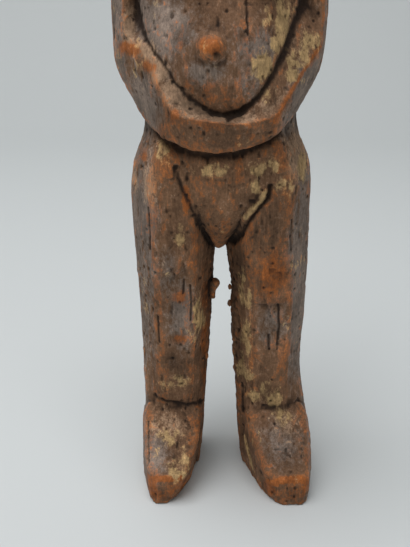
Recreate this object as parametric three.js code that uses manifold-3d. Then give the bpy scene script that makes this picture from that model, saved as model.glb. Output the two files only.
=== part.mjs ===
// A standing female figure, hewn and carved from one piece of wood: block feet, post-like legs,
// arms that wrap a round belly and meet under it, small breasts, a straight neck and an oval head.
// Millimetres, +Z up. The figure faces -Y, and left and right in names are the figure's own.
import * as THREE from "three";
import { mergeVertices } from "three/addons/utils/BufferGeometryUtils.js";
import Module from "manifold-3d";

const wasm = await Module();
wasm.setup();

// Driving heights above the floor, in millimetres.
const CROTCH = 127;
const NAVEL = 225;
const BREAST = 259;
const CHIN = 300;
const FACE_THIRD = 22;
const CROWN = 382;

// How finely a round is cut.
const TRUNK_SIDES = 30;
const HEAD_SIDES = 26;
const STEP = 6;

const WOOD_COLOUR = 0x6b4c35;

// Closed body between rings of the same count, with a fan over each end.
function loft(rings) {
  const sides = rings[0].length;
  const points = rings.flat();
  const index = [];
  for (let r = 0; r + 1 < rings.length; r++) {
    for (let i = 0; i < sides; i++) {
      const a = r * sides + i;
      const b = r * sides + ((i + 1) % sides);
      index.push(a, b, b + sides, a, b + sides, a + sides);
    }
  }
  for (const [r, turn] of [[0, 1], [rings.length - 1, 0]]) {
    const middle = new THREE.Vector3();
    rings[r].forEach((p) => middle.addScaledVector(p, 1 / sides));
    points.push(middle);
    for (let i = 0; i < sides; i++) {
      const a = r * sides + i;
      const b = r * sides + ((i + 1) % sides);
      const hub = points.length - 1;
      index.push(...(turn ? [b, a, hub] : [a, b, hub]));
    }
  }
  return new THREE.BufferGeometry().setFromPoints(points).setIndex(index);
}

// A three.js geometry as a manifold-3d solid. One that was mirrored is turned face out again.
function solid(geometry) {
  const bare = geometry.clone();
  bare.deleteAttribute("normal");
  bare.deleteAttribute("uv");
  const merged = mergeVertices(bare, 1e-4);
  const build = (triVerts) =>
    new wasm.Manifold(
      new wasm.Mesh({ numProp: 3, vertProperties: merged.attributes.position.array, triVerts }),
    );
  const made = build(new Uint32Array(merged.index.array));
  return made.volume() > 0 ? made : build(new Uint32Array(merged.index.array).reverse());
}

function geometryOf(made) {
  const mesh = made.getMesh();
  return new THREE.BufferGeometry()
    .setAttribute("position", new THREE.BufferAttribute(new Float32Array(mesh.vertProperties), 3))
    .setIndex(new THREE.BufferAttribute(new Uint32Array(mesh.triVerts), 1));
}

const join = (solids) => solids.reduce((a, b) => a.add(b));

// Rows of [place, ...values] as a smooth function of place.
function smooth(rows) {
  const width = rows[0].length - 1;
  const track = new THREE.CubicInterpolant(
    rows.map((row) => row[0]),
    rows.flatMap((row) => row.slice(1)),
    width,
    new Float64Array(width),
  );
  return (place) => Array.from(track.evaluate(place));
}

// Places from first to last, no further apart than step.
function places(first, last, step) {
  const count = Math.ceil(Math.abs(last - first) / step);
  return Array.from({ length: count + 1 }, (_, i) => THREE.MathUtils.lerp(first, last, i / count));
}

const ROUND = 2.2;

// A level ring at height z, as wide as right and left, as deep as front and back, squarer with power.
function ring(z, [right, left, front, back, power = ROUND], sides) {
  return Array.from({ length: sides }, (_, i) => {
    const angle = (i / sides) * 2 * Math.PI;
    const c = Math.cos(angle);
    const s = Math.sin(angle);
    const x = Math.sign(c) * Math.abs(c) ** (2 / power) * (c < 0 ? right : left);
    const y = Math.sign(s) * Math.abs(s) ** (2 / power) * (s < 0 ? front : back);
    return new THREE.Vector3(x, y, z);
  });
}

function stack(rows, sides, step, turn = 0) {
  const at = smooth(rows);
  const levels = places(rows[0][0], rows.at(-1)[0], step);
  return solid(loft(levels.map((z) => ring(z, at(z), sides))).rotateZ(turn));
}

function ball(centre, radii, around = 14, down = 10) {
  return solid(
    new THREE.SphereGeometry(1, around, down).scale(...radii).translate(...centre),
  );
}

// A turned knob whose axis points to the front, tilted by pitch.
function knob(profile, centre, sides, pitch = 0) {
  const outline = profile.map(([radius, out]) => new THREE.Vector2(radius, out));
  return solid(
    new THREE.LatheGeometry(outline, sides)
      .rotateX(Math.PI + pitch)
      .translate(...centre),
  );
}

// Trunk from the hips to the neck: z, right half, left half, front, back, squareness.
const TRUNK = [
  [150, 33, 34, 18, 22, 2.6],
  [158, 38, 39, 26, 28, 2.8],
  [166, 39.6, 41.2, 29.4, 28.5, 3],
  [173, 38.6, 40.3, 30.2, 26, 3],
  [180, 36.4, 37.7, 29.8, 22.5, 2.8],
  [187, 35.2, 36, 29.8, 20, 2.5],
  [191, 35.2, 35.8, 32.5, 19.8, 2.4],
  [196, 35.4, 35.8, 37.6, 20, 2.3],
  [203, 36.5, 36.6, 40.6, 20.5, 2.3],
  [212, 37.5, 37.5, 42, 22, 2.3],
  [222, 38, 38, 42, 23.5, 2.3],
  [233, 38, 38, 39.5, 26, 2.3],
  [244, 39, 39, 34.5, 28, 2.3],
  [254, 42.6, 42.6, 31, 29.5, 2.4],
  [262, 45.9, 45.9, 29, 29.5, 2.5],
  [268, 45.6, 45.6, 26, 28, 2.5],
  [273, 42, 42, 22.5, 26, 2.5],
  [278, 34.5, 34.5, 18.5, 23, 2.4],
  [282, 25, 25, 14.5, 19.5, 2.2],
  [286, 14, 14, 9, 14, 2],
];

function trunk() {
  return stack(TRUNK, TRUNK_SIDES, STEP);
}

// The wedge of the lower belly between the thighs: z, right half, left half, front, back, squareness.
const LAP = [
  [CROTCH, 2.5, 3, 14, 6, 2.6],
  [131, 4.4, 5, 18.5, 14, 2.8],
  [139, 8.6, 10, 24.3, 22, 3],
  [149, 13.4, 17, 28.4, 25, 3.4],
  [158, 17.4, 21.8, 30.6, 24, 3.8],
  [166, 20.4, 24, 31.4, 20, 3.8],
  [173, 22.6, 25.4, 30.8, 10, 3.4],
  [179, 23, 26, 28.8, 3, 3],
];
const LAP_SIDES = 24;
// The wedge stands further out on the left side.
const LAP_TURN = -0.045;

function lap() {
  return stack(LAP, LAP_SIDES, STEP, LAP_TURN);
}

// Section of a hewn post, from inner side (0) to outer side (1) and from front (0) to back (1): a flat
// front, a bevel to the inner side and a narrower one to the outer side, and a rounder back.
const POST = [
  [0, 0.42],
  [0.21, 0.06],
  [0.27, 0.015],
  [0.7, 0],
  [0.76, 0.035],
  [0.96, 0.28],
  [1, 0.37],
  [1, 0.6],
  [0.94, 0.79],
  [0.77, 0.94],
  [0.58, 1],
  [0.35, 0.99],
  [0.13, 0.9],
  [0.02, 0.74],
];

// Legs from the floor to the waist: z, outer side, inner side, front, back.
const LEG = {
  right: [
    [0.5, 36.6, 10, -12, 17],
    [22, 38, 8, -17, 20],
    [45, 38.2, 6.8, -19.5, 20.5],
    [62, 38.5, 5.6, -22.5, 21.5],
    [85, 39.3, 4, -24.5, 21.5],
    [107, 40.3, 3.1, -26, 22],
    [CROTCH, 41.3, 2, -27.4, 24],
    [146, 42.2, 1, -28.6, 27],
    [160, 42.2, 1, -29.6, 30],
    [170, 40.2, 1, -30, 27.5],
    [178, 37.2, 1, -29.4, 22.5],
    [186, 33.5, 1, -26, 17],
  ],
  left: [
    [0.5, 46, 13, -12, 17],
    [22, 45.4, 10.5, -17, 20],
    [38, 45.5, 9.8, -19, 20.5],
    [50, 43.4, 9.2, -20.5, 21],
    [62, 41.8, 8.4, -22.5, 21.5],
    [85, 43, 6.4, -24.5, 21.5],
    [107, 43.4, 5.9, -26, 22],
    [CROTCH, 43.5, 3.3, -27.4, 24],
    [146, 43.4, 1, -28.6, 27],
    [160, 43.6, 1, -29.6, 30],
    [170, 41.9, 1, -30, 27.5],
    [178, 38.6, 1, -29.4, 22.5],
    [186, 34.5, 1, -26, 17],
  ],
};

const SIDE = { right: -1, left: 1 };
const LEG_STEP = 9;

// The bevels of a leg are cut shallower below the shin, down to half of their depth at the ankle.
const SHIN = 90;
const ANKLE = 40;

function leg(name) {
  const at = smooth(LEG[name]);
  const levels = places(LEG[name][0][0], LEG[name].at(-1)[0], LEG_STEP);
  return solid(
    loft(
      levels.map((z) => {
        const [outer, inner, front, back] = at(z);
        const cut = 0.5 + 0.5 * THREE.MathUtils.smoothstep(z, ANKLE, SHIN);
        return POST.map(([u, v]) => {
          const x = THREE.MathUtils.lerp(inner, outer, u);
          const y = THREE.MathUtils.lerp(front, back, v < 0.5 ? v * cut : v);
          return new THREE.Vector3(SIDE[name] * x, y, z);
        });
      }),
    ),
  );
}

// Section of a block foot, from inner side (0) to outer side (1) and from floor (0) to top (1).
const SOLE = [
  [0.012, 0],
  [0, 0.1],
  [0, 0.8],
  [0.025, 0.92],
  [0.09, 0.985],
  [0.3, 1],
  [0.72, 1],
  [0.9, 0.975],
  [0.975, 0.89],
  [1, 0.74],
  [1, 0.1],
  [0.988, 0],
];

// Feet from toe to heel: y, height, outer side at the top and at the sole, inner side at both. The toe
// end is blunt, and the inner side is cut under.
const FOOT = {
  right: [
    [-43.4, 12.6, 32.6, 31.4, 21, 27],
    [-42.6, 14.8, 34.4, 33, 17.6, 25.4],
    [-40.6, 16.6, 35.6, 34.6, 15.6, 23.2],
    [-36, 21.2, 36.8, 36, 13, 20.4],
    [-30, 28.8, 38, 37.3, 10, 17.8],
    [-23, 38.2, 38.8, 38.5, 7.9, 15.2],
    [-18, 44.6, 39.2, 39.4, 7.2, 14],
    [-12, 42, 39.5, 40, 7.2, 12.8],
    [0, 34, 40, 40.3, 7.4, 11],
    [13, 22, 39.5, 39.8, 9, 10],
    [21.5, 12, 36, 36, 13, 13],
  ],
  left: [
    [-44.6, 12.6, 42.5, 41.6, 29, 33],
    [-43.8, 14.8, 44.6, 43.2, 25.8, 30.8],
    [-41.4, 16.8, 45.9, 45, 24, 27.6],
    [-37, 21.6, 46.8, 46.6, 20.8, 24.8],
    [-31, 29.2, 47.3, 47.6, 17.6, 22],
    [-24, 38.2, 47, 48.4, 14.6, 19.6],
    [-18, 45, 46, 48.8, 12.8, 17.4],
    [-12, 43, 45.5, 49, 12, 15.4],
    [0, 34, 47, 48.8, 10.8, 13.2],
    [13, 22, 46.5, 47.5, 11.5, 12.6],
    [21.5, 12, 42, 42, 15, 15],
  ],
};
const FOOT_STEP = 5;

function foot(name) {
  const at = smooth(FOOT[name]);
  const toe = FOOT[name].slice(0, 2).map(([y]) => y);
  const levels = [...toe, ...places(FOOT[name][2][0], FOOT[name].at(-1)[0], FOOT_STEP)];
  const { lerp } = THREE.MathUtils;
  return solid(
    loft(
      levels.map((y) => {
        const [height, outerTop, outerSole, innerTop, innerSole] = at(y);
        return SOLE.map(([u, w]) => {
          const x = lerp(lerp(innerSole, innerTop, w), lerp(outerSole, outerTop, w), u);
          return new THREE.Vector3(SIDE[name] * x, y, height * w);
        });
      }),
    ),
  );
}

// Both arms are one band that runs down from the right shoulder, under the belly and up to the left.
// A row is one place along it: the line where its front bevel meets the belly, the ridge between that
// bevel and the outer face, the outer or lower edge of that face, and the depth of wood behind it.
const ARMS = [
  [-30, -12, 274, -38, -12, 273, -44, 2, 271, 8],
  [-35.5, -14.5, 257, -42.6, -16.5, 257, -48, -1, 257, 14],
  [-36.2, -15.5, 237, -42.2, -18.5, 236, -48.7, -5.5, 233, 16],
  [-34.6, -19.5, 231, -41.6, -19.8, 229, -48.5, -8, 223, 16],
  [-31.5, -26, 226.7, -38.6, -22.5, 223.8, -47.4, -10, 214, 15],
  [-28.5, -30, 222.3, -33.5, -27.5, 218.8, -44.5, -11, 206.5, 13],
  [-25.7, -33.4, 218.5, -30, -31.5, 214.5, -41, -12, 200, 12],
  [-21.9, -36.2, 212.9, -27.6, -35.5, 209, -37, -14, 193, 11],
  [-15.8, -38.4, 205.9, -24.2, -39.5, 204.2, -31.5, -22, 188, 10],
  [-11, -38.7, 201.6, -20.6, -43.2, 198.4, -26, -34, 186, 9],
  [-8, -38.6, 199.5, -15, -45, 197, -19.8, -38, 183.8, 8],
  [-4.6, -38.2, 197.8, -8, -46, 196, -9.6, -40.5, 181.2, 8],
  [0.4, -37.9, 196.8, 0, -46.5, 195.3, 0, -41, 180.6, 8],
  [5, -38, 197.3, 8, -46.4, 194.6, 9.6, -40.4, 182.2, 8],
  [9, -38.2, 199, 16, -45.3, 195.8, 19.4, -38.5, 184.6, 8],
  [12.8, -38.4, 201.6, 23, -43.2, 197.3, 24.4, -36.5, 187, 8],
  [17.6, -37.8, 207.1, 27.6, -39.2, 202.4, 29.5, -28, 191, 9],
  [20.6, -37, 212.4, 31.5, -35.2, 208, 35.5, -17, 195.5, 10],
  [23.7, -35.1, 218.2, 34.7, -31.3, 213.5, 40, -13, 202, 12],
  [28.8, -29.6, 226.5, 39.6, -26.8, 217.8, 44.5, -11, 210.5, 15],
  [31.4, -25.1, 233.2, 43.6, -22, 223.3, 46.3, -9, 217.5, 16],
  [35.1, -17.5, 239.7, 44.7, -18.6, 232, 47.1, -6.5, 228, 16],
  [35.7, -15, 254, 43.4, -16.5, 254, 47.6, -1, 254, 14],
  [30, -12, 274, 38, -12, 273, 44, 2, 271, 8],
];

// The bevel runs on into the belly, the back of the band leans in, and its core lies in the trunk.
const BEVEL_FOOT = 1.3;
const BACK_LEAN = 0.06;
const CORE = 0.5;
const ARM_STEPS = 46;
const FACE_STEPS = 2;
const FACE_SWELL = 0.05;

function arms() {
  const rows = ARMS.map((row) => {
    const [meet, ridge, edge] = [0, 3, 6].map((i) => new THREE.Vector3(...row.slice(i, i + 3)));
    const depth = row[9];
    const foot = ridge.clone().lerp(meet, BEVEL_FOOT);
    const lean = new THREE.Vector3(-edge.x, 0, -depth).multiplyScalar(BACK_LEAN);
    const rear = edge.clone().add(lean).setY(edge.y + depth);
    const core = new THREE.Vector3(rear.x, edge.y + rear.y, rear.z + foot.z).multiplyScalar(CORE);
    return [foot, ridge, edge, rear, core];
  });
  const edges = rows[0].map((_, i) =>
    new THREE.CatmullRomCurve3(rows.map((row) => row[i]), false, "centripetal"),
  );
  const rings = Array.from({ length: ARM_STEPS + 1 }, (_, step) => {
    const corners = edges.map((edge) => edge.getPoint(step / ARM_STEPS));
    const centre = new THREE.Vector3();
    corners.forEach((p) => centre.addScaledVector(p, 1 / corners.length));
    return corners.flatMap((a, i) => {
      const b = corners[(i + 1) % corners.length];
      const swell = i === 1 || i === 2 ? FACE_SWELL : 0;
      return Array.from({ length: FACE_STEPS }, (_, k) => {
        const t = k / FACE_STEPS;
        const p = a.clone().lerp(b, t);
        return p.add(p.clone().sub(centre).multiplyScalar(4 * swell * t * (1 - t)));
      });
    });
  });
  return solid(loft(rings));
}

const BUTTOCK = { apart: 41, depth: 12.5, height: 152, radii: [22.5, 21.5, 27] };

function buttock(side) {
  const { apart, depth, height, radii } = BUTTOCK;
  return ball([(side * apart) / 2, depth, height], radii, 16, 12);
}

// Profiles of the knobs, as radius and distance out from the belly or chest.
const NAVEL_PLACE = [-4, -37.5, NAVEL];
const NAVEL_PROFILE = [
  [0, -4],
  [8.6, -4],
  [8.6, 1.6],
  [7.4, 2.8],
  [6.6, 3],
  [5.6, 6.4],
  [4, 8.4],
  [2, 9.2],
  [0, 9.3],
];

function navel() {
  return knob(NAVEL_PROFILE, NAVEL_PLACE, 18);
}

const BREASTS = { apart: 31, depth: -26.5, droop: 0.16 };
const BREAST_PROFILE = [
  [0, -8],
  [12, -8],
  [12.6, -2],
  [11.4, 2.6],
  [8.6, 6.6],
  [5.4, 9.6],
  [2.9, 11.4],
  [2.2, 13.2],
  [0, 13.9],
];

function breast(side) {
  const centre = [(side * BREASTS.apart) / 2, BREASTS.depth, BREAST];
  return knob(BREAST_PROFILE, centre, 16, BREASTS.droop);
}

// Neck from the shoulders into the head: height over the chin, right half, left half, front, back.
const NECK = [
  [-30, 21, 21, 15, 18],
  [-20, 15.5, 15.5, 13, 16],
  [-9, 13.8, 13.8, 12, 14.5],
  [4, 14, 14, 13, 14.5],
  [16, 13, 13, 13, 13],
];
const NECK_SIDES = 20;

function neck() {
  const rows = NECK.map(([rise, ...spans]) => [CHIN + rise, ...spans]);
  return stack(rows, NECK_SIDES, STEP);
}

// Head from chin to crown: height above the chin, right half, left half, front, back.
const HEAD = [
  [-2, 5, 5, 18.5, -3],
  [-0.6, 8.4, 8.4, 21.4, 1],
  [2, 11.8, 11.8, 23.8, 5],
  [6, 15.4, 15.4, 25.2, 10],
  [12, 18.8, 18.8, 25.6, 15.4],
  [19, 21.2, 21.2, 25.2, 20.4],
  [26, 22.8, 22.8, 24.4, 24],
  [33, 23.9, 23.9, 24, 26.6],
  [40, 24.6, 24.6, 24.8, 28],
  [47, 24.9, 24.9, 26, 28.6],
  [54, 24.7, 24.7, 26, 28.4],
  [60.5, 23.7, 23.7, 25, 27.3],
  [66.5, 21.6, 21.6, 22.9, 25],
  [71.5, 18.4, 18.4, 19.7, 21.6],
  [75.5, 14, 14, 15.4, 17],
  [78.2, 9, 9, 10, 11.4],
  [79.6, 3.6, 3.6, 4, 5],
];

function skull(grow = 0) {
  const rings = HEAD.map(([rise, ...spans]) =>
    ring(CHIN + rise + grow, spans.map((span) => span + grow), HEAD_SIDES),
  );
  return solid(loft(rings));
}

// Close-cropped hair: a thin cap that stands proud above a line from the forehead to the nape.
const HAIRLINE = CHIN + 2.85 * FACE_THIRD;
const NAPE = CHIN + FACE_THIRD;
const HEAD_DEPTH = 56;
const HAIR_THICKNESS = 1.8;

function hair() {
  const slope = Math.atan2(HAIRLINE - NAPE, HEAD_DEPTH);
  const room = 2 * HEAD_DEPTH;
  const above = solid(
    new THREE.BoxGeometry(room, room, room)
      .translate(0, 0, room / 2)
      .rotateX(-slope)
      .translate(0, 0, (HAIRLINE + NAPE) / 2),
  );
  return skull(HAIR_THICKNESS).intersect(above);
}

const NOSE_BASE = CHIN + FACE_THIRD;
const BROW = NOSE_BASE + FACE_THIRD;
const MOUTH = CHIN + 0.66 * FACE_THIRD;
const EYE_LEVEL = (CHIN + CROWN) / 2 - 3;
const EYES_APART = 20;

// Nose from the brow down: z, half width, depth of its root and of its tip.
const NOSE = [
  [BROW + 1, 3.4, -23, -25.6],
  [BROW - 6, 2.8, -21, -26.6],
  [NOSE_BASE + 8, 3.6, -22, -29.6],
  [NOSE_BASE + 3, 5.2, -22, -32.4],
  [NOSE_BASE, 5.4, -22, -31.6],
  [NOSE_BASE - 1, 4.2, -22, -29.4],
];
// Half of the nose's section, from its side to its tip: share of the half width, share of the way out.
const NOSE_SECTION = [
  [1, 0],
  [0.92, 0.55],
  [0.45, 0.94],
];

function nose() {
  const half = NOSE_SECTION.map(([u, out]) => [-u, out]);
  const across = [...half, [0, 1], ...half.map(([u, out]) => [-u, out]).reverse()];
  const rings = NOSE.map(([z, width, root, tip]) =>
    across.map(([u, out]) => new THREE.Vector3(u * width, THREE.MathUtils.lerp(root, tip, out), z)),
  );
  return solid(loft(rings));
}

// A hollow from brow to cheek, an almond eye that swells out of it, and the slit between its lids.
function eyeBall(side, [out, depth, rise], radii, around) {
  return ball([side * (EYES_APART / 2 + out), depth, EYE_LEVEL + rise], radii, around, 8);
}
const socket = (side) => eyeBall(side, [0.8, -25, 0], [8.6, 5.2, 6.2], 14);
const eye = (side) => eyeBall(side, [0, -18.2, -0.3], [5.7, 4.6, 3.5], 14);
const slit = (side) => eyeBall(side, [0, -23, -0.9], [4.6, 1.5, 0.6], 10);

// The mouth swells a little from the face and carries full closed lips, over a rounded chin.
function mouth() {
  const swelling = ball([0, -20.8, MOUTH], [11.5, 6, 8.5], 16, 8);
  const upperLip = ball([0, -25, MOUTH + 1.5], [7.2, 2.9, 2], 14, 6);
  const lowerLip = ball([0, -24.8, MOUTH - 1.7], [6.2, 2.9, 2.1], 14, 6);
  const chin = ball([0, -20.2, CHIN + 5], [8.5, 6.4, 6.2], 12, 8);
  return [swelling, upperLip, lowerLip, chin];
}

const EAR = { out: 24.2, depth: 2, height: CHIN + 34 };

function ear(side) {
  const { out, depth, height } = EAR;
  const shell = ball([side * out, depth, height], [3.6, 6, 10], 12, 10);
  const bowl = ball([side * (out + 3.4), depth - 1.2, height + 1], [2, 3.2, 6], 10, 8);
  return shell.subtract(bowl);
}

function head() {
  const face = [-1, 1].reduce((made, side) => made.subtract(socket(side)), skull());
  return join([
    face,
    hair(),
    nose(),
    ...mouth(),
    ...[-1, 1].flatMap((side) => [eye(side).subtract(slit(side)), ear(side)]),
  ]);
}

function figure() {
  const body = join([
    trunk(),
    lap(),
    ...["right", "left"].flatMap((name) => [leg(name), foot(name)]),
    arms(),
    ...[-1, 1].flatMap((side) => [buttock(side), breast(side)]),
    navel(),
    neck(),
    head(),
  ]);
  return geometryOf(body);
}

// The origin is the middle of the footprint, on the floor.
function onFloor(geometry) {
  geometry.computeBoundingBox();
  const { min, max } = geometry.boundingBox;
  return geometry.translate(-(min.x + max.x) / 2, -(min.y + max.y) / 2, -min.z);
}

const carving = new THREE.Mesh(
  onFloor(figure()),
  new THREE.MeshStandardMaterial({ color: WOOD_COLOUR, roughness: 0.85, metalness: 0 }),
);
carving.name = "female_figure";
carving.geometry.computeVertexNormals();

const group = new THREE.Group();
group.add(carving);

export default group;
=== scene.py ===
import math

import bmesh
import bpy
import numpy as np
from mathutils import Matrix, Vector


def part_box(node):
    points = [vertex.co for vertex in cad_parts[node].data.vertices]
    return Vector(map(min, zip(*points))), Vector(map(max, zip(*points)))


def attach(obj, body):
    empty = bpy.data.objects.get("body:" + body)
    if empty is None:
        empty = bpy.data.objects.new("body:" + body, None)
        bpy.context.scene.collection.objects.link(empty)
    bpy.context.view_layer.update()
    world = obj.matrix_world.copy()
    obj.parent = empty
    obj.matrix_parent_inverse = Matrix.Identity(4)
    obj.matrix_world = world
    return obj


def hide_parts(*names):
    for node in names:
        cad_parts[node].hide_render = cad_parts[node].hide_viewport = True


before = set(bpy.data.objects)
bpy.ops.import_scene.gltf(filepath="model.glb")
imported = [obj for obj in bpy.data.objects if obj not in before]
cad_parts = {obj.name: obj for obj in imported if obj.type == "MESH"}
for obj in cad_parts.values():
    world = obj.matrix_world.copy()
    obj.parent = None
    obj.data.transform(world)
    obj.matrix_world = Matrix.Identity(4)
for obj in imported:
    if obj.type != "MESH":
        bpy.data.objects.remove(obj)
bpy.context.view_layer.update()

bl_info = {
    "name": "Carved female figure",
    "version": (1, 0, 0),
    "blender": (4, 5, 0),
    "location": "View3D > Sidebar > Figure",
    "description": "A weathered wooden figure carved from one log, on a pale studio floor",
    "category": "Add Mesh",
}

# The frame is in metres. Carving is worked out in millimetres and turned to metres at the end.
MM = 0.001
NODE = "female_figure"
BODY = "root"
FIGURE_LOW, FIGURE_HIGH = (np.array(corner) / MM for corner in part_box(NODE))

# Driving places in millimetres: x to a viewer's right, y away from the viewer, z up.
LOG_DEPTH = 6.4
CHIN = 300.0
HAIR_HEIGHT = 342.35
HAIR_SLOPE = 0.727


def linear(hex_colour):
    """An sRGB hex colour as linear RGBA."""
    parts = [int(hex_colour[i:i + 2], 16) / 255 for i in (1, 3, 5)]
    return tuple(c / 12.92 if c <= 0.04045 else ((c + 0.055) / 1.055) ** 2.4 for c in parts) + (1.0,)


def colour_property(name, hex_colour, description):
    return bpy.props.FloatVectorProperty(
        name=name, description=description, subtype="COLOR", size=4, min=0, max=1,
        default=linear(hex_colour),
    )


def length_property(name, metres, description):
    return bpy.props.FloatProperty(
        name=name, description=description, default=metres, min=0, unit="LENGTH", precision=4,
    )


class CarvingSettings(bpy.types.PropertyGroup):
    """Sizes of the carved surface."""

    grain_of_mesh: length_property("Mesh size", 0.64 * MM, "Side of the mesh's smallest faces")
    cut_depth: length_property("Cut depth", 0.3 * MM, "How deep a knife's cut is")
    cut_width: length_property("Cut width", 6 * MM, "Width of one knife cut across the grain")
    cut_length: length_property("Cut length", 17 * MM, "Length of one knife cut along the grain")
    fibre_depth: length_property("Fibre depth", 0.15 * MM, "Depth of the weathered grain")
    crust_height: length_property("Crust height", 0.5 * MM, "How far the dried crust stands up")
    triangles: bpy.props.IntProperty(
        name="Triangles", description="Most triangles in the finished mesh",
        default=197000, min=20000, max=199000,
    )


class WoodColours(bpy.types.PropertyGroup):
    """Colours of the weathered wood and what lies on it."""

    heart: colour_property("Heartwood", "#775840", "Brown wood where it is worn bare")
    # This grey is both weathering and painted side light on the outer side faces.
    grey_weathering_and_side_light: colour_property("Weathered wood", "#7a6d63", "Grey weathering on the outer faces")
    # This pale colour is partly dust and partly painted top light on faces that look up.
    pale: colour_property("Pale bevel", "#a08267", "Dusty pale wood on the upper bevels")
    rubbed: colour_property("Rubbed edge", "#96531f", "Orange wood where handling rubbed it")
    crust: colour_property("Crust", "#ab8d62", "Dried earth and offering crust")
    # This sooty colour is both dirt at the bottom of the cuts and painted shade in hollows and grooves.
    soot_and_shade: colour_property("Soot", "#2a190c", "Grime at the bottom of the cuts")


class StageSettings(bpy.types.PropertyGroup):
    """The camera and the plain backdrop."""

    pitch: bpy.props.FloatProperty(
        name="Camera pitch", description="How far the camera looks down",
        default=math.radians(22), subtype="ANGLE",
    )
    distance: length_property("Camera distance", 430 * MM, "From the camera to the point it looks at")
    aim_height: length_property("Aim height", 108.8 * MM, "Height of the point it looks at")
    aim_side: bpy.props.FloatProperty(
        name="Aim to the side", description="How far that point is to the figure's left",
        default=-7 * MM, unit="LENGTH",
    )
    aim_depth: length_property("Aim depth", LOG_DEPTH * MM, "How far that point is behind the origin")
    floor: colour_property("Floor", "#d3d7d6", "Pale floor and backdrop")


# Lines seen from the front, as x and z in millimetres.
BELLY_RIGHT = [
    (-29, 268), (-35.5, 252), (-36, 240), (-33.5, 230), (-30.5, 224.5), (-26, 219.5), (-19.5, 210.5),
    (-13.5, 204.5), (-8.5, 201), (-4.5, 198.5), (1, 197),
]
BELLY_LEFT = [
    (3, 197), (8, 198.5), (13, 202), (17, 206.5), (20.5, 211.5), (26, 221), (31, 232.5), (34.5, 240),
    (36, 252), (30, 268),
]
UNDER_HANDS = [(-25, 183), (-20, 180.5), (-13.5, 178), (-7, 177), (7, 177.5), (15, 181), (24, 185)]
GROIN_RIGHT = [(-20, 172), (-19.5, 167), (-15, 156), (-11.5, 148), (-8, 138.5), (-4, 129)]
GROIN_LEFT = [(22.5, 163), (21.5, 157.5), (17, 151.5), (13, 145.5), (9.5, 137), (6, 130)]
GROIN_LIP = [(20.5, 161), (18.5, 155.5), (15, 152), (11.5, 147)]
ANKLE_RIGHT = [(-32.5, 48.5), (-27, 46.5), (-20.5, 45), (-13.5, 44), (-8, 42)]
ANKLE_LEFT = [(12, 38.5), (17, 41.5), (23, 42), (27, 43)]
TOE_RIGHT = [(-35, 12.5), (-31, 14.5), (-19, 14.5), (-16.5, 13)]
TOE_LEFT = [(27, 12.5), (31, 14.5), (41, 15), (44.5, 12)]
ARM_RIDGE_LEFT = [(43, 223.5), (39, 219), (35, 214), (31, 208.5), (26.5, 202), (22.5, 195.5)]
INNER_FOOT = [(14, 22), (15.5, 15.5), (18, 7)]
SPINE = [(0, 264), (0, 190), (0, 172)]
# Drying cracks along the grain, on the front and on the back.
FRONT_CRACKS = [
    [(28, 103), (29, 92), (28.5, 78)], [(-14, 113), (-13.5, 105), (-14, 94)], [(-17, 116), (-17.5, 109)],
    [(12, 54), (12.5, 37)], [(24, 86), (24.5, 78)], [(-33, 152), (-32.5, 138), (-33, 131)],
    [(33, 146), (33.5, 131)], [(-30, 96), (-29.5, 82)], [(10, 244), (10.5, 230)], [(-36, 36), (-35.5, 20)],
    [(14, 288), (13, 300)],
]
BACK_CRACKS = [
    [(8, 252), (9, 226), (7.5, 206)], [(-19, 240), (-18.5, 221)], [(25, 120), (24, 88), (25, 70)],
    [(-22, 106), (-22.5, 78)], [(-12, 372), (-13, 344), (-12, 330)], [(-30, 60), (-30.5, 40)],
]

# What lies on the wood, and light and shade painted on it: x, z, half width, half height, strength. The pale patches
# are partly painted top light and the darkened patches partly painted shade. Only faces that look to the front take
# it.
CRUST = [
    (25.5, 237, 2.5, 7, 1), (23, 226, 2, 3.5, 0.9), (17, 217, 3.5, 4.5, 1), (19, 236, 2.5, 4, 0.4),
    (38, 226, 3.5, 3, 1), (33, 219, 3.5, 3, 0.9), (30, 213, 3, 2, 1), (19, 205, 3, 3, 0.6),
    (-26, 179, 2.5, 4, 0.9), (-4, 171, 6, 2.5, 0.9), (16, 171, 4, 2.5, 0.8), (24, 173, 2, 3, 0.9),
    (15, 162, 2.5, 2.5, 0.8), (38, 169, 2, 4.5, 0.9), (30, 163, 4, 3, 0.6), (-18, 138, 2, 4, 0.7),
    (-11, 102, 2, 4, 0.9), (-9, 92, 2, 5, 0.9), (11, 110, 1.4, 8, 0.8), (14, 104, 1.5, 4.5, 0.9),
    (14, 83, 2, 10, 0.8), (14, 62, 3, 3.5, 1), (18, 49, 3, 3, 0.9), (24, 55, 2.5, 3, 0.7),
    (29, 48, 2.5, 6, 1), (32, 40, 3, 3, 0.8), (-24, 57, 5, 4, 0.5), (-25, 31, 6.5, 4, 0.45),
    (-23, 18, 2.5, 3, 0.7), (-17, 18, 1.5, 5, 0.6),
]
RUBBED = [
    (-40, 222, 4, 2, 1), (-31, 216, 3, 2.5, 0.6), (-20, 198, 1.5, 1.5, 0.9), (-5, 226, 3.6, 2.5, 1),
    (-15.5, 156.5, 1.4, 5, 0.9), (-35, 174, 2, 2, 0.5), (-7, 83, 2.5, 34, 0.4), (25, 118, 8, 12, 0.45),
    (-19, 107, 3, 3, 0.6), (-19, 84, 4, 2.5, 0.5), (33, 76, 4, 6, 0.35), (-34, 7, 2.5, 4, 0.9),
    (-18, 6, 2, 4, 0.6), (26, 8, 2, 4, 1), (43, 9, 1.2, 4, 0.8), (-27, 8, 8, 6, 0.35), (36, 7, 7, 6, 0.3),
]
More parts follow.
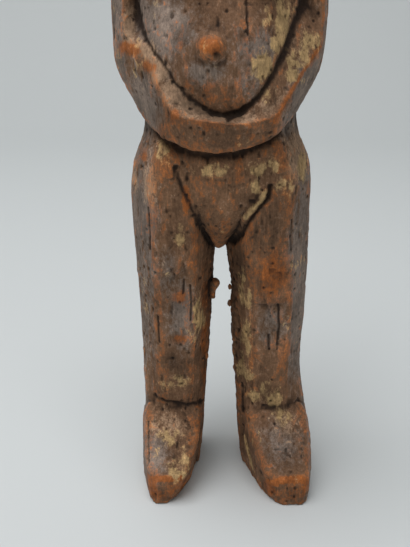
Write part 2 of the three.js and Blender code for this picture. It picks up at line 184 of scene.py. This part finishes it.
# Pale dust and painted top light on the upper bevels, hips and foot tops.
PALE_AND_TOP_LIGHT = [
    (-40, 231, 2, 6, 1), (-33, 222, 4, 3, 1), (-27, 215, 4, 4, 0.85), (-21, 206, 4, 3.5, 1),
    (-12, 200, 6, 2.4, 1), (-1, 197, 5, 1.6, 0.8), (10, 196.5, 5, 2, 0.5), (31, 225, 4, 5, 0.35),
    (27, 205, 4, 3, 0.35), (20, 200, 4.5, 2.5, 0.4), (35, 176, 4, 9, 0.7), (-32, 162, 3, 9, 0.55),
    (-40, 163, 1.5, 6.5, 0.5), (-28, 124, 3, 5, 0.35), (13, 160, 6, 4, 0.4), (-27, 35, 8, 6.5, 0.4),
    (35, 36, 7, 6.5, 0.3),
]
SILVER = [
    (-24, 231, 9, 9, 0.9), (-23, 215, 4, 3.5, 0.5), (14, 224, 7, 8, 0.6), (12, 210, 5, 7, 0.5),
    (-8, 215, 7, 4, 0.6), (-45, 226, 2.5, 18, 0.7), (-35, 201, 7, 8, 0.6), (36, 206, 5, 8, 0.9),
    (29, 190, 2.5, 5.5, 0.8), (45, 216, 1.5, 6.5, 0.7), (-33, 146, 4, 10, 0.6), (-26, 121, 7, 9.5, 0.4),
    (-18, 98, 6, 14, 0.6), (39, 101, 3, 26, 0.8), (34, 131, 3, 10, 0.5), (27, 91, 8, 11, 0.5),
    (-32, 23, 5, 9, 0.6), (31, 30, 9, 8, 0.4), (47, 28, 1.5, 11, 0.6),
]
# Darkened patches, partly painted shade where light does not reach: under the belly, round the navel's knob, in the
# groin, along the legs' inner sides and on the toe fronts.
DARK_AND_SHADE = [
    (-6, 220, 5, 1.5, 0.8), (-2.5, 223.5, 1.6, 1.8, 1), (-16, 229, 3, 5, 0.35), (8, 230, 3, 1.2, 0.7),
    (-9, 209, 6, 4, 0.45), (1, 205, 3, 3.5, 0.5), (-21, 196, 2.5, 2, 0.7), (3, 194, 3.5, 1, 0.7),
    (-26, 188, 1.5, 3.5, 0.6), (0, 191, 18, 5, 0.3), (-3, 139, 6, 6, 0.6), (5, 132, 4, 5.5, 0.8),
    (-32, 145, 2, 5, 0.5), (14, 137, 4, 6, 0.5), (9, 122, 3, 9, 0.8), (7, 98, 1.8, 28, 0.8),
    (-20, 104, 5, 5, 0.35), (-20, 70, 6, 4.5, 0.6), (-11, 71, 2, 3.5, 0.5), (-7, 54, 2, 15, 0.6),
    (-4, 103, 1.5, 35, 0.5), (28, 103, 3, 2, 0.7), (15, 85, 3, 4, 0.4), (10, 72, 1.5, 17, 0.6),
    (12, 16, 1, 18, 0.5), (22, 47, 2, 5, 0.4), (-29, 6, 4, 3, 0.9), (35, 6, 8, 5, 0.4),
    (-12, 45, 2.5, 13, 0.45), (-26, 6, 9, 6, 0.35),
]
# Chips that still hang on the inner edges of the legs: middle and half sizes.
CHIPS = [
    ((-1.9, -4, 107.6), (2.7, 3.4, 3.2)), ((-3.2, -4, 103.8), (1.8, 3, 4)), ((5.2, -4, 106), (1, 2.4, 1.6)),
    ((5.4, -3, 96.5), (1, 2.4, 1.8)), ((-6, -5, 68), (1, 2.4, 2)), ((7.8, -3, 77), (0.9, 2.2, 1.6)),
]


def hashed(cells, seed):
    """One number from 0 to 1 for each whole-number cell."""
    mixed = (cells[..., 0] * 73856093) ^ (cells[..., 1] * 19349663) ^ (cells[..., 2] * 83492791)
    mixed = (mixed ^ (seed * 2654435761)) & 0xFFFFFFFF
    mixed = ((mixed ^ (mixed >> 15)) * 2246822519) & 0xFFFFFFFF
    mixed = ((mixed ^ (mixed >> 13)) * 3266489917) & 0xFFFFFFFF
    return ((mixed ^ (mixed >> 16)) & 0xFFFFFF) / 0xFFFFFF


def noise(points, size, seed):
    """Smooth noise from -1 to 1 whose swells are about size millimetres apart; size may differ by axis."""
    scaled = points / np.array(size, float)
    cell = np.floor(scaled).astype(np.int64)
    part = scaled - cell
    ease = part * part * part * (part * (part * 6 - 15) + 10)
    total = np.zeros(len(points))
    for corner in np.ndindex(2, 2, 2):
        share = np.prod(np.where(corner, ease, 1 - ease), axis=1)
        total += share * hashed(cell + np.array(corner), seed)
    return total * 2 - 1


def rough(points, size, seed, octaves=3):
    """Noise with finer noise on it, each half the size and half the strength."""
    size = np.array(size, float)
    total = sum(noise(points, size / 2 ** k, seed + k) / 2 ** k for k in range(octaves))
    return total / sum(0.5 ** k for k in range(octaves))


def knife_cuts(points, size, seed):
    """Overlapping knife cuts of that size, each a shallow scoop with a tilt of its own."""
    scaled = points / np.array(size, float)
    home = np.floor(scaled).astype(np.int64)
    nearest = np.full(len(points), 9.0)
    tilted = np.zeros(len(points))
    for step in np.ndindex(3, 3, 3):
        cell = home + np.array(step) - 1
        away = scaled - cell - np.stack([hashed(cell, seed + axis) for axis in range(3)], axis=1)
        distance = (away ** 2).sum(1)
        tilt = sum(away[:, axis] * (hashed(cell, seed + 5 + axis) * 2 - 1) for axis in range(3))
        tilted = np.where(distance < nearest, tilt, tilted)
        nearest = np.minimum(nearest, distance)
    return np.clip(nearest, 0, 1) + tilted


def ramp(low, high, value):
    """0 below low, 1 above high and smooth between; high may be the smaller."""
    t = np.clip((value - low) / (high - low), 0, 1)
    return t * t * (3 - 2 * t)


def swell(points, centre, radii):
    """1 at centre, falling off smoothly past radii."""
    return np.exp(-(((points - np.array(centre)) / np.array(radii, float)) ** 2).sum(1))


def near_line(points, line, width):
    """1 on a line seen from the front, falling off past width on each side."""
    flat = points[:, (0, 2)]
    closest = np.full(len(points), 1e9)
    for start, end in zip(line, line[1:]):
        start, along = np.array(start, float), np.subtract(end, start).astype(float)
        t = np.clip(((flat - start) @ along) / (along @ along), 0, 1)
        closest = np.minimum(closest, ((flat - start - t[:, None] * along) ** 2).sum(1))
    return np.exp(-closest / width ** 2)


class Skin:
    """A mesh held as arrays in millimetres, with what is needed to carve it."""

    def __init__(self, mesh):
        self.mesh = mesh
        co = np.empty(len(mesh.vertices) * 3, np.float32)
        mesh.vertices.foreach_get("co", co)
        self.points = co.reshape(-1, 3).astype(float) / MM
        pairs = np.empty(len(mesh.edges) * 2, np.int32)
        mesh.edges.foreach_get("vertices", pairs)
        self.start, self.end = pairs.reshape(-1, 2).T
        self.links = np.maximum(self.summed(np.ones(len(self.start))), 1)
        mesh.calc_loop_triangles()
        corners = np.empty(len(mesh.loop_triangles) * 3, np.int32)
        mesh.loop_triangles.foreach_get("vertices", corners)
        self.triangles = corners.reshape(-1, 3)

    def summed(self, to_end, to_start=None):
        """What the edges carry, added up at each point."""
        count = len(self.points)
        back = to_end if to_start is None else to_start
        return np.bincount(self.end, to_end, count) + np.bincount(self.start, back, count)

    def around(self, values):
        """The mean of each point's neighbours."""
        if values.ndim == 2:
            return np.stack([self.around(column) for column in values.T], axis=1)
        return self.summed(values[self.start], values[self.end]) / self.links

    def blurred(self, values, times, weight=0.5):
        if np.ndim(weight) and values.ndim == 2:
            weight = weight[:, None]
        for _ in range(times):
            values = values + (self.around(values) - values) * weight
        return values

    def normals(self):
        a, b, c = (self.points[self.triangles[:, k]] for k in range(3))
        face = np.cross(b - a, c - a)
        total = np.zeros_like(self.points)
        for k in range(3):
            for axis in range(3):
                total[:, axis] += np.bincount(self.triangles[:, k], face[:, axis], len(self.points))
        return total / np.maximum(np.linalg.norm(total, axis=1), 1e-12)[:, None]

    def bend(self, times):
        """0 where the surface is flat and 1 over a fold, such as an edge between two faces."""
        return ramp(0.012, 0.09, 1 - np.linalg.norm(self.blurred(self.normals(), times), axis=1))

    def push(self, outwards):
        """Moves each point along its normal, in millimetres."""
        self.points = self.points + self.normals() * outwards[:, None]

    def hollow(self, times):
        """How far the smoothed surface lies outside each point: above 0 in a hollow, below on a ridge."""
        return ((self.blurred(self.points, times) - self.points) * self.normals()).sum(1)

    def store(self):
        self.mesh.vertices.foreach_set("co", (self.points * MM).astype(np.float32).ravel())
        self.mesh.update()

    def mark(self, name, values):
        """Keeps one number for each point where the material can read it."""
        layer = self.mesh.attributes.get(name) or self.mesh.attributes.new(name, "FLOAT", "POINT")
        layer.data.foreach_set("value", np.clip(values, 0, 1).astype(np.float32))


def applied(thing, kind, **settings):
    """Adds a modifier to thing and puts the mesh that it makes in place of thing's own."""
    modifier = thing.modifiers.new(kind, kind)
    for name, value in settings.items():
        setattr(modifier, name, value)
    graph = bpy.context.evaluated_depsgraph_get()
    made = bpy.data.meshes.new_from_object(thing.evaluated_get(graph))
    thing.modifiers.clear()
    old = thing.data
    thing.data = made
    bpy.data.meshes.remove(old)


def with_chips(mesh):
    """A copy of the plain solid with the hanging chips added as lumps that overlap it."""
    shape = bmesh.new()
    shape.from_mesh(mesh)
    for middle, halves in CHIPS:
        place = Matrix.LocRotScale([v * MM for v in middle], None, [v * MM for v in halves])
        bmesh.ops.create_icosphere(shape, subdivisions=2, radius=1, matrix=place)
    joined = bpy.data.meshes.new("solid_with_chips")
    shape.to_mesh(joined)
    shape.free()
    return joined


def on_face(points):
    """1 on the face, where small forms are kept crisp."""
    return ramp(CHIN - 4, CHIN + 2, points[:, 2]) * ramp(-6, -14, points[:, 1] - LOG_DEPTH)


def on_cap(points):
    """1 on the cap of hair."""
    above = points[:, 2] - HAIR_HEIGHT + HAIR_SLOPE * (points[:, 1] - LOG_DEPTH)
    return ramp(-0.4, 1.2, above)


def carve_forms(skin):
    """Evens out the plain solid's facets but keeps the edges of the carving."""
    kept = np.maximum(skin.bend(7), 0.75 * on_face(skin.points))
    kept = skin.blurred(kept, 3)
    skin.points = skin.blurred(skin.points, 60, 0.5 * (1 - 0.93 * kept))
    crisp = np.clip(skin.hollow(12), -1, 1)
    skin.push(-0.5 * crisp * (1 - 0.5 * on_face(skin.points)))


def carve_lines(skin):
    """Cuts the drawn lines: belly, groin, ankles, under the hands, the cracks and the spine."""
    points = skin.points
    z = points[:, 2]
    facing = skin.normals()[:, 1]
    front, back = ramp(0.3, -0.15, facing), ramp(-0.2, 0.3, facing)
    wander = points + 0.7 * rough(points, (4, 4, 6), 11)[:, None]
    cut = 0.35 * near_line(wander, BELLY_RIGHT, 0.9) * ramp(262, 250, z)
    cut += 1.1 * near_line(wander, BELLY_LEFT, 1.2 + 0.5 * ramp(206, 226, z)) * ramp(262, 250, z)
    cut += 0.6 * near_line(wander, GROIN_RIGHT, 1.0) + 1.5 * near_line(wander, GROIN_LEFT, 1.1)
    cut += 0.55 * near_line(wander, ANKLE_RIGHT, 1.1) + 0.35 * near_line(wander, ANKLE_LEFT, 1.4)
    cut += 0.8 * near_line(wander, UNDER_HANDS, 2.2)
    cut += 1.6 * swell(points, (-2.2, -38, 222.6), (1.6, 9, 1.5))
    cut -= 0.9 * near_line(wander, GROIN_LIP, 1.6)
    thin = points + 0.35 * rough(points, (3, 3, 5), 13)[:, None]
    cut += 0.55 * sum(near_line(thin, crack, 0.5) for crack in FRONT_CRACKS)
    behind = 1.0 * near_line(points, SPINE, 3.2) + 0.7 * sum(near_line(thin, crack, 0.6) for crack in BACK_CRACKS)
    skin.push(-(cut * front + behind * back))


def carve_hair(skin):
    """Short grooves combed back over the cap of hair."""
    x, y = skin.points[:, 0], skin.points[:, 1] - LOG_DEPTH - 1
    rows = np.cos(np.arctan2(x, y) * 44 + 1.4 * noise(skin.points, (6, 6, 6), 51))
    skin.push(-0.2 * on_cap(skin.points) * (1 - rows) * ramp(2, 9, np.hypot(x, y)))


def carve_surface(skin, sizes):
    """Knife cuts, weathered fibres, pits, notches on the legs' inner edges and a lost flake."""
    points = skin.points
    x, y, z = points.T
    face = on_face(points)
    belly = swell(points, (0, -30, 228), (26, 16, 26))
    smooth = np.maximum.reduce([face, belly, 0.6 * on_cap(points)])
    size = (sizes.cut_width / MM, sizes.cut_width / MM, sizes.cut_length / MM)
    cuts = knife_cuts(points + 1.2 * rough(points, (10, 10, 20), 21)[:, None], size, 22)
    out = sizes.cut_depth / MM * (cuts - 0.4) * (1 - 0.7 * smooth)
    out += 0.3 * rough(points, (15, 15, 24), 31) * (1 - 0.7 * face)
    out += 0.16 * rough(points, (4, 4, 5), 35) * (1 - 0.6 * face)
    out += sizes.fibre_depth / MM * rough(points, (1.5, 1.5, 11), 41, 2) * (1 - 0.6 * face)
    out -= 1.2 * np.maximum(noise(points, (1.9, 1.9, 2.6), 43) - 0.5, 0) * (1 - 0.8 * face)
    inner = ramp(10, 6, np.abs(x - 1.4 - 0.03 * (125 - z))) * ramp(128, 118, z) * ramp(20, 32, z)
    notch = np.maximum(noise(points, (5, 5, 3.2), 45), -0.25)
    out += inner * (0.7 * notch + 0.35 * noise(points, (2.2, 2.2, 1.6), 46))
    # A thin flake has come off the left shin below a ragged edge across the grain.
    edge = 103.4 + 0.8 * rough(points, (4, 4, 4), 49)
    shin = ramp(14, 16, x) * ramp(35, 32, x) * ramp(0, -8, y)
    out -= 0.38 * shin * ramp(edge + 0.5, edge - 0.5, z) * ramp(edge - 30, edge - 12, z)
    toes = ramp(16.5, 13.5, z) * ramp(-20, -28, y)
    out -= toes * (0.3 + 0.6 * np.maximum(noise(points, (3, 3, 3), 48), 0))
    skin.push(out)


def patches(points, table, front, seed):
    """The patches of a table as one mask with ragged edges."""
    total = np.zeros(len(points))
    for x, z, wide, high, strength in table:
        away = ((points[:, 0] - x) / (1.3 * wide)) ** 2 + ((points[:, 2] - z) / (1.3 * high)) ** 2
        total = np.maximum(total, strength * np.exp(-away))
    return np.clip(total * (1 + 0.7 * rough(points, (3, 3, 5), seed, 3)), 0, 1) * front


def crusted(skin):
    """Where crust clings: the patches, and thinly in hollows everywhere else."""
    points = skin.points
    front = ramp(0.45, 0.05, skin.normals()[:, 1])
    drawn = patches(points, CRUST, front, 61)
    drawn = np.maximum(drawn, 0.9 * near_line(points, GROIN_LIP, 1.5) * front)
    drawn = np.maximum(drawn, 0.9 * near_line(points, INNER_FOOT, 1.1) * front)
    flakes = ramp(-0.1, 0.35, rough(points, (2.4, 2.4, 3.6), 65, 3) + 0.3 * drawn)
    thin = ramp(0.25, 0.6, rough(points, (9, 9, 15), 71) + 0.5 * np.clip(skin.hollow(20), 0, 0.6))
    return np.clip(drawn * (0.4 + 0.6 * flakes) + 0.3 * thin * flakes, 0, 1)


def mark_surface(skin):
    """Masks that the wood's material reads: tone, crust, rubbing, dust, greying and dirt, with painted shade in
    hollows and grooves, painted top light on faces that look up and painted side light on outer side faces.
    """
    points = skin.points
    z = points[:, 2]
    facing = skin.normals()
    front = ramp(0.45, 0.05, facing[:, 1])
    hollow, fine = skin.hollow(30), skin.hollow(5)
    skin.mark("crust", crusted(skin))
    groove = near_line(points, BELLY_LEFT, 1.5 + ramp(206, 230, z)) * ramp(262, 250, z)
    groove = np.maximum(groove, 0.8 * near_line(points, BELLY_RIGHT, 0.8) * ramp(262, 250, z))
    groove = np.maximum(groove, 0.95 * near_line(points, UNDER_HANDS, 3.2))
    groove = np.maximum(groove, 0.9 * near_line(points, GROIN_LEFT, 1.4))
    groove = np.maximum(groove, 0.6 * near_line(points, GROIN_RIGHT, 1.3))
    groove = np.maximum(groove, 0.7 * near_line(points, ANKLE_RIGHT, 1.4))
    cracks = sum(near_line(points, crack, 0.6) for crack in FRONT_CRACKS)
    # Dirt and painted shade: darker in the hollows, in the cracks and along the grooves under the belly, under the
    # hands, in the groin and at the right ankle.
    grime_and_shade = np.clip(1.1 * hollow + 1.6 * fine, 0, 1) + (0.85 * groove + 0.6 * cracks) * front
    skin.mark("grime_and_shade", grime_and_shade)
    rubbed = patches(points, RUBBED, front, 83)
    toes = np.maximum(near_line(points, TOE_RIGHT, 1.5), near_line(points, TOE_LEFT, 1.5))
    ridge = 0.6 * near_line(points, ARM_RIDGE_LEFT, 1.2)
    knocks = 0.3 * ramp(0.3, 0.8, -1.6 * hollow - 2.0 * fine + 0.3 * rough(points, (7, 7, 9), 81))
    skin.mark("rubbed", np.maximum.reduce([rubbed, toes * front, ridge * front, knocks]))
    # Dust and painted top light: the pale colour goes only on faces that look up, where light from above falls.
    skin.mark("pale", patches(points, PALE_AND_TOP_LIGHT, front * ramp(-0.35, 0.1, facing[:, 2]), 85))
    broad = 0.5 + 0.5 * rough(points, (15, 15, 32), 89, 4)
    # Painted side light as well as weathering: outer side faces of the legs, hips and arms are greyed.
    lit_and_weathered_sides = ramp(0.6, 0.95, np.abs(facing[:, 0])) * ramp(24, 38, np.abs(points[:, 0] - 1))
    drawn = patches(points, SILVER, front, 87)
    skin.mark("grey_weathering_and_side_light", 0.8 * drawn + 0.4 * lit_and_weathered_sides + 0.35 * ramp(0, 0.5, facing[:, 1]) * broad + 0.2 * broad)
    # Darkened patches, partly painted shade under the belly, in the groin, along the legs' inner sides and on the
    # toe fronts.
    dark_and_shade = patches(points, DARK_AND_SHADE, front, 91)
    tone = 0.5 + 0.13 * rough(points, (12, 12, 24), 93, 3) + 0.12 * rough(points, (4, 4, 7), 95, 3)
    # Painted shade: the tone is lowered in hollows and on the darkened patches, and raised on ridges.
    tone += 0.12 * drawn - 0.3 * dark_and_shade - 0.35 * np.clip(hollow + fine, 0, 0.7) + 0.2 * np.clip(-hollow - fine, 0, 0.7)
    skin.mark("tone", tone)


def add_node(tree, kind, settings=None, links=None):
    """Adds a node, sets its properties and socket values, and links its inputs."""
    node = tree.nodes.new(kind)
    for name, value in (settings or {}).items():
        if isinstance(name, str) and hasattr(node, name):
            setattr(node, name, value)
        else:
            node.inputs[name].default_value = value
    for name, source in (links or {}).items():
        tree.links.new(source, node.inputs[name])
    return node


def weathered_hardwood(colours):
    """Old dense hardwood, knife-carved and never varnished: matt, dry and open-grained, with brown
    heartwood under grey weathering, earthy crust, and orange wood where hands rubbed it. Its colours also carry
    painted shade in hollows and grooves, and painted light on upward and outer side faces."""
    material = bpy.data.materials.new("weathered_carved_hardwood")
    material.use_nodes = True
    tree = material.node_tree
    tree.nodes.clear()
    place = add_node(tree, "ShaderNodeTexCoord").outputs["Object"]

    def mask(name):
        return add_node(tree, "ShaderNodeAttribute", {"attribute_name": name}).outputs["Fac"]

    def grain(across_mm, along_mm, detail, roughness=0.6, distortion=0.0):
        """Noise drawn out along the height, with its swells across_mm and along_mm apart."""
        scale = (1 / (across_mm * MM), 1 / (across_mm * MM), 1 / (along_mm * MM))
        stretched = add_node(tree, "ShaderNodeMapping", {"Scale": scale}, {"Vector": place})
        settings = {"Scale": 1.0, "Detail": detail, "Roughness": roughness, "Distortion": distortion}
        texture = add_node(tree, "ShaderNodeTexNoise", settings, {"Vector": stretched.outputs["Vector"]})
        return texture.outputs["Fac"]

    def curve(value, low, high, to_low=0.0, to_high=1.0):
        settings = {"From Min": low, "From Max": high, "To Min": to_low, "To Max": to_high}
        return add_node(tree, "ShaderNodeMapRange", settings, {"Value": value}).outputs["Result"]

    def plus(base, value, times):
        """base plus value times a number."""
        node = add_node(tree, "ShaderNodeMath", {"operation": "MULTIPLY_ADD", 1: times}, {0: value, 2: base})
        return node.outputs["Value"]

    def lay(under, over, share):
        """Lays the colour over on the colour or link under, by share."""
        node = add_node(tree, "ShaderNodeMix", {"data_type": "RGBA", 7: tuple(over)}, {0: share})
        if isinstance(under, bpy.types.NodeSocket):
            tree.links.new(under, node.inputs[6])
        else:
            node.inputs[6].default_value = tuple(under)
        return node.outputs[2]

    # Pattern sizes of this wood, in millimetres: fibres, mottling from worn flakes, and pinpoint pits.
    fibres = grain(0.7, 6, 4, 0.7)
    mottle = grain(2.2, 3.4, 6, 0.72, 0.3)
    pits = grain(0.8, 1.1, 3, 0.7)
    drift = grain(9, 15, 3)

    def ragged(name, amount=1.0):
        """A mask whose edges break up along the mottling and the fibres."""
        value = plus(mask(name), mottle, 1.1)
        value = plus(value, pits, 0.5)
        return curve(value, 0.98, 1.28, 0, amount)

    # The grey weathering carries painted side light on the outer side faces, and the pale colour painted top light
    # on faces that look up.
    colour = lay(colours.heart, colours.grey_weathering_and_side_light, ragged("grey_weathering_and_side_light", 0.85))
    colour = lay(colour, colours.pale, ragged("pale", 0.9))
    colour = lay(colour, colours.rubbed, ragged("rubbed", 0.85))
    colour = lay(colour, colours.crust, ragged("crust", 0.95))
    # Painted shade and dirt: the sooty colour goes into hollows, cracks and the grooves under the belly, the hands
    # and in the groin.
    colour = lay(colour, colours.soot_and_shade, curve(plus(mask("grime_and_shade"), mottle, 0.8), 0.55, 1.35, 0, 0.9))

    # The gain lightens and darkens the colour: a tone of 0.5 and middling noise leave it as it is.
    weights = ((fibres, 0.5), (mottle, 0.8), (pits, 0.5), (drift, 0.4))
    tone = mask("tone")
    for pattern, weight in weights:
        tone = plus(tone, pattern, weight)
    middle = 0.5 + 0.5 * sum(weight for _, weight in weights)
    spread = add_node(tree, "ShaderNodeMath", {"operation": "SUBTRACT", 1: middle}, {0: tone}).outputs["Value"]
    gain = add_node(tree, "ShaderNodeMath", {"operation": "POWER", 0: 9.0}, {1: spread}).outputs["Value"]
    shaded = add_node(tree, "ShaderNodeVectorMath", {"operation": "SCALE"}, {0: colour, "Scale": gain})

    bump = add_node(tree, "ShaderNodeBump", {"Strength": 0.8, "Distance": 0.5 * MM}, {"Height": tone})
    worn = curve(mask("rubbed"), 0, 1, 0.85, 0.55)
    shader = add_node(
        tree, "ShaderNodeBsdfPrincipled", {"Metallic": 0.0, "IOR": 1.5, "Specular IOR Level": 0.3},
        {"Base Color": shaded.outputs["Vector"], "Roughness": worn, "Normal": bump.outputs["Normal"]},
    )
    add_node(tree, "ShaderNodeOutputMaterial", None, {"Surface": shader.outputs["BSDF"]})
    return material


def matt_paper(colour):
    """A seamless paper sweep: fully matt, so it shows only soft shadows."""
    material = bpy.data.materials.new("matt_backdrop_paper")
    material.use_nodes = True
    shader = material.node_tree.nodes["Principled BSDF"]
    shader.inputs["Base Color"].default_value = tuple(colour)
    shader.inputs["Roughness"].default_value = 0.95
    shader.inputs["Specular IOR Level"].default_value = 0.1
    return material


class OBJECT_OT_carved_figure(bpy.types.Operator):
    """Carve the weathered surface of the standing figure over its plain solid"""

    bl_idname = "object.carved_figure"
    bl_label = "Carve the figure"

    def execute(self, context):
        sizes = context.scene.figure_carving
        piece = bpy.data.objects.new("carved_figure", with_chips(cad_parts[NODE].data))
        context.scene.collection.objects.link(piece)
        applied(piece, "REMESH", mode="VOXEL", voxel_size=sizes.grain_of_mesh)
        skin = Skin(piece.data)
        carve_forms(skin)
        carve_lines(skin)
        carve_hair(skin)
        carve_surface(skin, sizes)
        crust = crusted(skin)
        skin.push(sizes.crust_height / MM * crust * (0.6 + 0.4 * noise(skin.points, (2, 2, 2), 66)))
        skin.points = np.clip(skin.points, FIGURE_LOW, FIGURE_HIGH)
        skin.store()
        found = len(skin.triangles)
        if found > sizes.triangles:
            applied(piece, "DECIMATE", ratio=sizes.triangles / found)
        skin = Skin(piece.data)
        mark_surface(skin)
        piece.data.shade_smooth()
        piece.data.materials.append(weathered_hardwood(context.scene.figure_colours))
        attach(piece, BODY)
        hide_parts(NODE)
        print("carved_figure triangles", len(skin.triangles), "of", found)
        return {"FINISHED"}


class OBJECT_OT_figure_stage(bpy.types.Operator):
    """Set the camera, the pale floor with its curved backdrop, and the soft studio light"""

    bl_idname = "object.figure_stage"
    bl_label = "Set the stage"

    def camera(self, context, stage):
        lens = bpy.data.cameras.new("camera")
        lens.sensor_width = 36
        # The photograph's long side takes in 547 of the 850 pixels that the lens is from it.
        lens.lens = 36 * 850 / 547
        lens.clip_start = 0.01
        camera = bpy.data.objects.new("camera", lens)
        camera.location = (
            stage.aim_side,
            stage.aim_depth - stage.distance * math.cos(stage.pitch),
            stage.aim_height + stage.distance * math.sin(stage.pitch),
        )
        camera.rotation_euler = (math.radians(90) - stage.pitch, 0, 0)
        context.scene.collection.objects.link(camera)
        context.scene.camera = camera

    def sweep(self, context, stage):
        half, front, bend, radius, top = 2.2, -1.6, 0.75, 0.5, 2.4
        profile = [(front, 0.0), (bend, 0.0)]
        for step in range(1, 25):
            angle = step / 24 * math.pi / 2
            profile.append((bend + radius * math.sin(angle), radius * (1 - math.cos(angle))))
        profile.append((bend + radius, top))
        vertices = [(side * half, y, z) for y, z in profile for side in (-1, 1)]
        faces = [(2 * i, 2 * i + 1, 2 * i + 3, 2 * i + 2) for i in range(len(profile) - 1)]
        mesh = bpy.data.meshes.new("sweep")
        mesh.from_pydata(vertices, [], faces)
        mesh.shade_smooth()
        mesh.materials.append(matt_paper(stage.floor))
        sweep = bpy.data.objects.new("sweep", mesh)
        context.scene.collection.objects.link(sweep)

    def lamp(self, context, name, place, size, watts, colour):
        light = bpy.data.lights.new(name, "AREA")
        light.shape = "RECTANGLE"
        light.size, light.size_y = size
        light.energy = watts
        light.color = linear(colour)[:3]
        lamp = bpy.data.objects.new(name, light)
        lamp.location = place
        aim = np.array([0, 0, 0.15]) - np.array(place)
        lamp.rotation_euler = (
            math.atan2(math.hypot(aim[0], aim[1]), -aim[2]), 0, math.atan2(-aim[0], aim[1]),
        )
        context.scene.collection.objects.link(lamp)

    def execute(self, context):
        stage = context.scene.figure_stage
        self.camera(context, stage)
        self.sweep(context, stage)
        self.lamp(context, "overhead", (-0.25, -0.15, 1.5), (1.1, 0.9), 18, "#fcfcff")
        self.lamp(context, "front_left", (-0.9, -1.2, 0.9), (0.8, 0.8), 1.6, "#fffaf4")
        self.lamp(context, "front_right", (1.0, -1.0, 0.7), (0.8, 0.8), 0.8, "#f7fbff")
        world = bpy.data.worlds.new("soft_room")
        world.use_nodes = True
        background = world.node_tree.nodes["Background"]
        background.inputs["Color"].default_value = linear("#f2f4f5")
        background.inputs["Strength"].default_value = 0.3
        context.scene.world = world
        context.scene.view_settings.view_transform = "Standard"
        return {"FINISHED"}


class VIEW3D_PT_figure(bpy.types.Panel):
    """Sizes, colours and the buttons that build the figure"""

    bl_label = "Carved figure"
    bl_space_type = "VIEW_3D"
    bl_region_type = "UI"
    bl_category = "Figure"

    def draw(self, context):
        layout = self.layout
        for title, group in (
            ("Carving", context.scene.figure_carving),
            ("Colours", context.scene.figure_colours),
            ("Stage", context.scene.figure_stage),
        ):
            box = layout.box()
            box.label(text=title)
            for name in group.__annotations__:
                box.prop(group, name)
        layout.operator(OBJECT_OT_carved_figure.bl_idname)
        layout.operator(OBJECT_OT_figure_stage.bl_idname)


CLASSES = (
    CarvingSettings,
    WoodColours,
    StageSettings,
    OBJECT_OT_carved_figure,
    OBJECT_OT_figure_stage,
    VIEW3D_PT_figure,
)


def register():
    for cls in CLASSES:
        bpy.utils.register_class(cls)
    bpy.types.Scene.figure_carving = bpy.props.PointerProperty(type=CarvingSettings)
    bpy.types.Scene.figure_colours = bpy.props.PointerProperty(type=WoodColours)
    bpy.types.Scene.figure_stage = bpy.props.PointerProperty(type=StageSettings)


def unregister():
    del bpy.types.Scene.figure_stage
    del bpy.types.Scene.figure_colours
    del bpy.types.Scene.figure_carving
    for cls in reversed(CLASSES):
        bpy.utils.unregister_class(cls)


def main():
    register()
    bpy.ops.object.figure_stage()
    bpy.ops.object.carved_figure()


if __name__ == "__main__":
    main()
